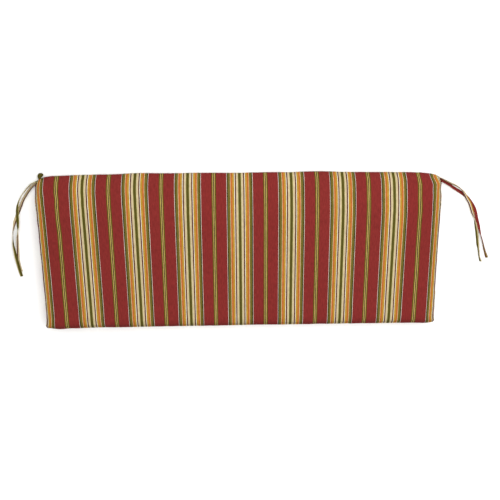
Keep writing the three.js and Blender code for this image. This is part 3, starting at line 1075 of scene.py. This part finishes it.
def tie_stations(route, settings):
    """Evenly spaced places along a tie: its middle, the direction across it and the direction out of it."""
    table = np.array(route, float)
    points = table[:, [0, 1, 3]] * MM
    fine = np.linspace(0, 1, 40 * (len(table) - 1) + 1)
    dense = np.array([route_point(points, t) for t in fine])
    spans = fine * (len(table) - 1)
    k = np.minimum(spans.astype(int), len(table) - 2)
    leans = np.radians(lerp(table[k, 2], table[k + 1, 2], smoothstep(0, 1, spans - k)))
    along = travelled(dense)
    at = np.linspace(0, along[-1], round(along[-1] / settings.step) + 1)
    place = np.stack([np.interp(at, along, dense[:, n]) for n in range(3)], -1)
    run = unit(np.gradient(place, axis=0) * (1, 1, 0))
    level = np.stack([run[:, 1], -run[:, 0], np.zeros(len(run))], -1)
    up = np.array([0.0, 0.0, 1.0])
    lean = np.interp(at, along, leans)[:, None]
    across = level * np.cos(lean) + up * np.sin(lean)
    out = -level * np.sin(lean) + up * np.cos(lean)
    standing, lying = np.abs(np.sin(lean[:, 0])), np.abs(np.cos(lean[:, 0]))
    place[:, 2] = np.maximum(0, place[:, 2])
    place[:, 2] += settings.width / 2 * standing + settings.thickness / 2 * lying

    # The strip comes out of the seam, so its root runs a little way into the cushion.
    root = place[0] - run[0] * TIE_ROOT
    place, across, out = (np.vstack(pair) for pair in ((root, place), (across[:1], across), (out[:1], out)))
    return place, across, out, np.concatenate([[-TIE_ROOT], at])


def tie_section(fold, width, thickness):
    """The outline of a tie's section: across, out, and how far across the flat cloth each point lies."""
    upper = [(a * fold * width, o * thickness) for a, o in TIE_SIDE]
    lower = [(a, -o) for a, o in reversed(upper)]
    ring = [(a, o, a) for a, o in upper]
    ring.extend((a, o, fold * (width + thickness) - a) for a, o in lower[1:-1])
    return ring


def swept(rings, cloth, name, material):
    """A closed strip from rings of points. cloth holds the UV pairs of each ring's faces."""
    count = len(rings[0])
    points = np.concatenate(rings)
    faces, uvs = [], []
    for s in range(len(rings) - 1):
        first, second = cloth[s], cloth[s + 1]
        for n in range(count):
            m = (n + 1) % count
            faces.append([s * count + n, s * count + m, (s + 1) * count + m, (s + 1) * count + n])
            uvs.extend([first[n][0], first[n][1], second[n][1], second[n][0]])
    for ring, order in ((0, range(count - 1, -1, -1)), (len(rings) - 1, range(count))):
        faces.append([ring * count + n for n in order])
        uvs.extend(cloth[ring][n][0] for n in order)
    strip = mesh_object(name, points, faces, uvs, material)

    # The section may run either way round, so the faces are turned outwards.
    mesh = bmesh.new()
    mesh.from_mesh(strip.data)
    bmesh.ops.recalc_face_normals(mesh, faces=mesh.faces)
    mesh.to_mesh(strip.data)
    mesh.free()
    return strip


def make_tie(name, material):
    """Makes one tie and returns the lines of its stitches, on its upper and its lower side."""
    settings = bpy.context.scene.loveseat_ties
    middle, way, drift, fold = TIE_CUTS[name]
    place, across, out, at = tie_stations(TIE_ROUTES[name], settings)
    section = tie_section(fold, settings.width, settings.thickness)
    if fold < 0:
        section.reverse()

    # Each face takes the cloth between two points of the section, but not across the stitched edge.
    unfolded = [r for _, _, r in section]
    spans = [
        (r, r if abs(after - r) > settings.width else after)
        for r, after in zip(unfolded, unfolded[1:] + unfolded[:1])
    ]
    rings, cloth = [], []
    for s, along in enumerate(at):
        wave = noise.noise(Vector((along * TIE_WAVES_A_METRE, 3.0 * middle, 0))) * settings.ripple
        wide = 1 + TIE_WIDTH_SWING * noise.noise(Vector((along * TIE_WIDTHS_A_METRE, 9.0, middle)))
        rings.append([place[s] + across[s] * a * wide + out[s] * (o + wave) for a, o, _ in section])
        cloth.append([[(middle * MM + way * q + drift * along, along) for q in span] for span in spans])
    tie = swept(rings, cloth, name + "_cloth", material)
    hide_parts(name)
    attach(tie, BODY)
    edge = TIE_STITCH_ACROSS * fold * settings.width
    height = TIE_STITCH_OUT * settings.thickness
    return [place + across * edge + out * side * height for side in (1, -1)]


class LOVESEAT_OT_ties(bpy.types.Operator):
    """Make the four loose tie ends and the stitching along them"""

    bl_idname = "loveseat.ties"
    bl_label = "Tie ends"

    def execute(self, context):
        stitches = context.scene.loveseat_stitches
        material = cloth_material(TIE_MATERIAL, 1.1 * MM, 0.2, seams=False)
        lines = []
        for name in TIE_ROUTES:
            lines.extend(line[2:-1] for line in make_tie(name, material))
        thread = thread_material("tie_thread", tuple(stitches.tie_thread))
        piece = stitched("tie_stitches", lines, stitches.tie_pitch, thread)
        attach(piece, BODY)
        return {"FINISHED"}


def fold_line(thickness):
    """The hairpin's middle line seen from the side, as reach and height, with the direction out of it."""
    tip = FOLD_REACH - FOLD_BEND
    radius = FOLD_BEND - thickness / 2
    neck = FOLD_NECK - thickness / 2
    turn = np.linspace(-FOLD_OPENS, FOLD_OPENS, 23)
    arc = np.stack([tip + radius * np.cos(turn), radius * np.sin(turn)], -1)
    low = np.linspace((-FOLD_ROOT, -neck), arc[0], 7)[:-1]
    high = np.linspace(arc[-1], (-FOLD_ROOT, neck), 7)[1:]
    line = np.vstack([low, arc, high])
    run = unit(np.gradient(line, axis=0))
    return line, np.stack([run[:, 1], -run[:, 0]], -1)


def fold_point(reach, height, across):
    """A point of the fold, which widens to a round head and turns from the seam's slant to straight out."""
    along = float(smoothstep(0, FOLD_REACH - FOLD_BEND, reach))
    from_head = (reach - FOLD_REACH + FOLD_HEAD_HALF) / FOLD_HEAD_HALF
    head = FOLD_HEAD_WIDTH * math.sqrt(max(FOLD_HEAD_LEAST, 1 - from_head**2))
    neck = FOLD_NECK_WIDTH if from_head < 0 else 0
    side = across * (head**FOLD_JOIN_POWER + neck**FOLD_JOIN_POWER) ** (1 / FOLD_JOIN_POWER)
    slant = FOLD_SLANT * (1 - along)
    place = (FOLD_SHIFT * along + side * math.cos(slant), reach + side * math.sin(slant), height)
    return FOLD_BASE + Vector(place)


class LOVESEAT_OT_tie_fold(bpy.types.Operator):
    """Make the doubled end of the left tie strip that stands out of the corner seam"""

    bl_idname = "loveseat.tie_fold"
    bl_label = "Folded tie"

    def execute(self, context):
        thickness = context.scene.loveseat_ties.thickness
        line, outward = fold_line(thickness)
        run = travelled(line)
        section = tie_section(1, 1.0, thickness)
        rings, cloth = [], []
        for s, (middle, out) in enumerate(zip(line, outward)):
            rings.append([fold_point(*(middle + out * lift), across) for across, lift, _ in section])
            cloth.append([[(across * FOLD_STRIPES * MM, run[s])] * 2 for across, _, _ in section])
        piece = swept(rings, cloth, "tie_fold_cloth", bpy.data.materials[TIE_MATERIAL])
        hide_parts("tie_left_fold")
        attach(piece, BODY)
        return {"FINISHED"}


class LOVESEAT_OT_stage(bpy.types.Operator):
    """Make the floor, the lights and the camera"""

    bl_idname = "loveseat.stage"
    bl_label = "Stage"

    def execute(self, context):
        settings = context.scene.loveseat_stage
        scene = context.scene
        scene.view_settings.view_transform = "Standard"
        half = settings.floor_size / 2
        corners = [(-half, -half, 0), (half, -half, 0), (half, half, 0), (-half, half, 0)]
        paper = floor_material(tuple(settings.floor_colour))
        floor = mesh_object("floor", corners, [(0, 1, 2, 3)], None, paper, smooth=False)

        world = bpy.data.worlds.new("soft_sky")
        world.use_nodes = True
        sky = world.node_tree.nodes["Background"]
        sky.inputs["Color"].default_value = (1, 1, 1, 1)
        sky.inputs["Strength"].default_value = settings.sky
        scene.world = world

        for name, place, size, share in LIGHTS:
            light = bpy.data.lights.new(name, "AREA")
            light.energy = settings.light_power * share
            light.size = size
            lamp = link(bpy.data.objects.new(name, light))
            lamp.location = place
            lamp.rotation_euler = Vector(place).to_track_quat("Z", "Y").to_euler()

        camera = bpy.data.cameras.new("camera")
        camera.lens = settings.lens
        camera.sensor_width = 36
        camera.clip_end = 50
        viewer = link(bpy.data.objects.new("camera", camera))
        turn = (
            Matrix.Rotation(-CAMERA_PITCH, 4, "X")
            @ Matrix.Rotation(CAMERA_YAW, 4, "Y")
            @ Matrix.Rotation(CAMERA_ROLL, 4, "Z")
        )
        viewer.matrix_world = Matrix.Translation(CAMERA_PLACE) @ turn
        scene.camera = viewer
        return {"FINISHED"}


class LOVESEAT_PT_panel(bpy.types.Panel):
    """Lists the pieces of the cushion and their settings"""

    bl_label = "Loveseat cushion"
    bl_idname = "LOVESEAT_PT_panel"
    bl_space_type = "VIEW_3D"
    bl_region_type = "UI"
    bl_category = "Cushion"

    def draw(self, context):
        layout = self.layout
        for operator in OPERATORS:
            layout.operator(operator.bl_idname)
        for name, group in SETTINGS.items():
            box = layout.box()
            box.label(text=group.__doc__)
            for key in group.__annotations__:
                box.prop(getattr(context.scene, name), key)


OPERATORS = (LOVESEAT_OT_stage, LOVESEAT_OT_cushion, LOVESEAT_OT_ties, LOVESEAT_OT_tie_fold)


def register():
    for group in (*SETTINGS.values(), *OPERATORS, LOVESEAT_PT_panel):
        bpy.utils.register_class(group)
    for name, group in SETTINGS.items():
        setattr(bpy.types.Scene, name, PointerProperty(type=group))


def unregister():
    for name in SETTINGS:
        delattr(bpy.types.Scene, name)
    for group in reversed((*SETTINGS.values(), *OPERATORS, LOVESEAT_PT_panel)):
        bpy.utils.unregister_class(group)


def main():
    register()
    bpy.ops.loveseat.stage()
    bpy.ops.loveseat.cushion()
    bpy.ops.loveseat.ties()
    bpy.ops.loveseat.tie_fold()


if __name__ == "__main__":
    main()
